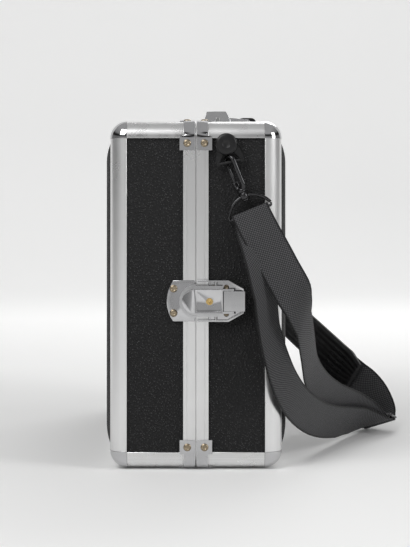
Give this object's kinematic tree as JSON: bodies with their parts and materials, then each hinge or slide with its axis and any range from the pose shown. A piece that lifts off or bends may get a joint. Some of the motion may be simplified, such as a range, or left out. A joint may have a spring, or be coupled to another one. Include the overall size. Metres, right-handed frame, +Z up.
{
  "type": "sample case",
  "caption": "Upright hard sample case split down the middle, aluminium edges, ball corners, hasp latch, folding handle and clipped shoulder strap.",
  "frame": {"origin": "middle of the case's length and thickness, under the seam, on the plane that the corner braces stand on", "axes": "+Z up, +Y along the case from the latch end to the hinge end, +X from the lid to the base half that carries handle and strap"},
  "size_m": [0.3205, 0.5274, 0.361],
  "materials": {
    "satin_aluminium": "satin",
    "mirror_chrome": "polished",
    "old_bronze": "dull",
    "lock_brass": "polished",
    "black_board": "pebbled",
    "lining_cloth": "flocked",
    "black_metal": "gloss",
    "black_plastic": "semi-gloss",
    "pin_steel": "bright",
    "webbing": "woven",
    "pad_rubber": "ribbed"
  },
  "bodies": {
    "base": {"base_main_edges": "satin_aluminium", "base_side_edges": "satin_aluminium", "base_seam_frame": "satin_aluminium", "base_main_panel": "black_board", "base_ball_corners": "mirror_chrome", "base_corner_braces": "mirror_chrome", "base_brace_rivets": "old_bronze", "base_lining": "lining_cloth", "base_bottom_panel": "black_board", "base_top_panel": "black_board", "base_near_panel": "black_board", "base_far_panel": "black_board", "hinge_leaves_base": "mirror_chrome", "hinge_pins": "pin_steel", "hinge_rivets_base": "pin_steel", "latch_base": "mirror_chrome", "latch_base_rivets": "pin_steel", "latch_lever_pin": "pin_steel", "handle_brackets": "mirror_chrome", "handle_pivot_pins": "pin_steel", "near_strap_anchor": "black_plastic", "near_strap_ring": "black_metal", "far_strap_anchor": "black_plastic", "far_strap_ring": "black_metal", "strap_webbing": "webbing", "strap_slider": "black_plastic", "shoulder_pad": "pad_rubber"},
    "lid": {"lid_main_edges": "satin_aluminium", "lid_side_edges": "satin_aluminium", "lid_seam_frame": "satin_aluminium", "lid_main_panel": "black_board", "lid_ball_corners": "mirror_chrome", "lid_corner_braces": "mirror_chrome", "lid_brace_rivets": "old_bronze", "lid_lining": "lining_cloth", "lid_bottom_panel": "black_board", "lid_top_panel": "black_board", "lid_near_panel": "black_board", "lid_far_panel": "black_board", "hinge_leaves_lid": "mirror_chrome", "hinge_rivets_lid": "pin_steel", "latch_catch_plate": "mirror_chrome", "latch_catch_rivets": "old_bronze"},
    "latch_lever": {"latch_lever": "mirror_chrome", "latch_hasp_pin": "pin_steel"},
    "latch_hasp": {"latch_hasp": "mirror_chrome"},
    "key_cylinder": {"latch_key_cylinder": "lock_brass"},
    "handle": {"handle_bail": "mirror_chrome", "handle_grip": "black_plastic"},
    "near_loop": {"near_anchor_loop": "black_metal"},
    "near_hook": {"near_hook": "black_metal"},
    "near_gate": {"near_hook_gate": "pin_steel"},
    "far_loop": {"far_anchor_loop": "black_metal"},
    "far_hook": {"far_hook": "black_metal"},
    "far_gate": {"far_hook_gate": "pin_steel"}
  },
  "joints": [
    {"name": "lid_hinge", "type": "hinge", "parent": "base", "child": "lid", "pos_m": [0, 0.2336, 0.1725], "axis": [0, 0, -1], "range_deg": [0, 120]},
    {"name": "handle_fold", "type": "hinge", "parent": "base", "child": "handle", "pos_m": [0.0225, 0, 0.352], "axis": [0, -1, 0], "range_deg": [0, 95]},
    {"name": "latch_lever_swing", "type": "hinge", "parent": "base", "child": "latch_lever", "pos_m": [0.0197, -0.2335, 0.167], "axis": [0, 0, -1], "range_deg": [0, 90]},
    {"name": "latch_hasp_swing", "type": "hinge", "parent": "latch_lever", "child": "latch_hasp", "pos_m": [0.0365, -0.237, 0.167], "axis": [0, 0, 1], "range_deg": [0, 117]},
    {"name": "key_turn", "type": "hinge", "parent": "latch_hasp", "child": "key_cylinder", "pos_m": [0.0134, -0.2407, 0.167], "axis": [0, 1, 0], "range_deg": [0, 90]},
    {"name": "near_loop_swing", "type": "hinge", "parent": "base", "child": "near_loop", "pos_m": [0.03, -0.23555, 0.321], "axis": [0, -1, 0], "range_deg": [-6, 6]},
    {"name": "near_hook_swivel", "type": "hinge", "parent": "base", "child": "near_hook", "pos_m": [0.03382, -0.23555, 0.30321], "axis": [-0.3746, 0, 0.9272], "range_deg": [-12, 1]},
    {"name": "near_gate_spring", "type": "hinge", "parent": "near_hook", "child": "near_gate", "pos_m": [0.03822, -0.23134, 0.28288], "axis": [0.7103, 0.6428, 0.287], "range_deg": [0, 18], "stiffness_Nm_per_rad": 0.02, "springref_deg": -11.46},
    {"name": "far_loop_swing", "type": "hinge", "parent": "base", "child": "far_loop", "pos_m": [0.03, 0.23555, 0.321], "axis": [0, -1, 0], "range_deg": [-6, 6]},
    {"name": "far_hook_swivel", "type": "hinge", "parent": "base", "child": "far_hook", "pos_m": [0.03382, 0.23555, 0.30321], "axis": [-0.3746, 0, 0.9272], "range_deg": [-1, 12]},
    {"name": "far_gate_spring", "type": "hinge", "parent": "far_hook", "child": "far_gate", "pos_m": [0.03822, 0.23134, 0.28288], "axis": [-0.7103, 0.6428, -0.287], "range_deg": [0, 18], "stiffness_Nm_per_rad": 0.02, "springref_deg": -11.46}
  ],
  "couplings": [
    {"joint": "latch_hasp_swing", "follows": "latch_lever_swing", "ratio": 1.3}
  ]
}
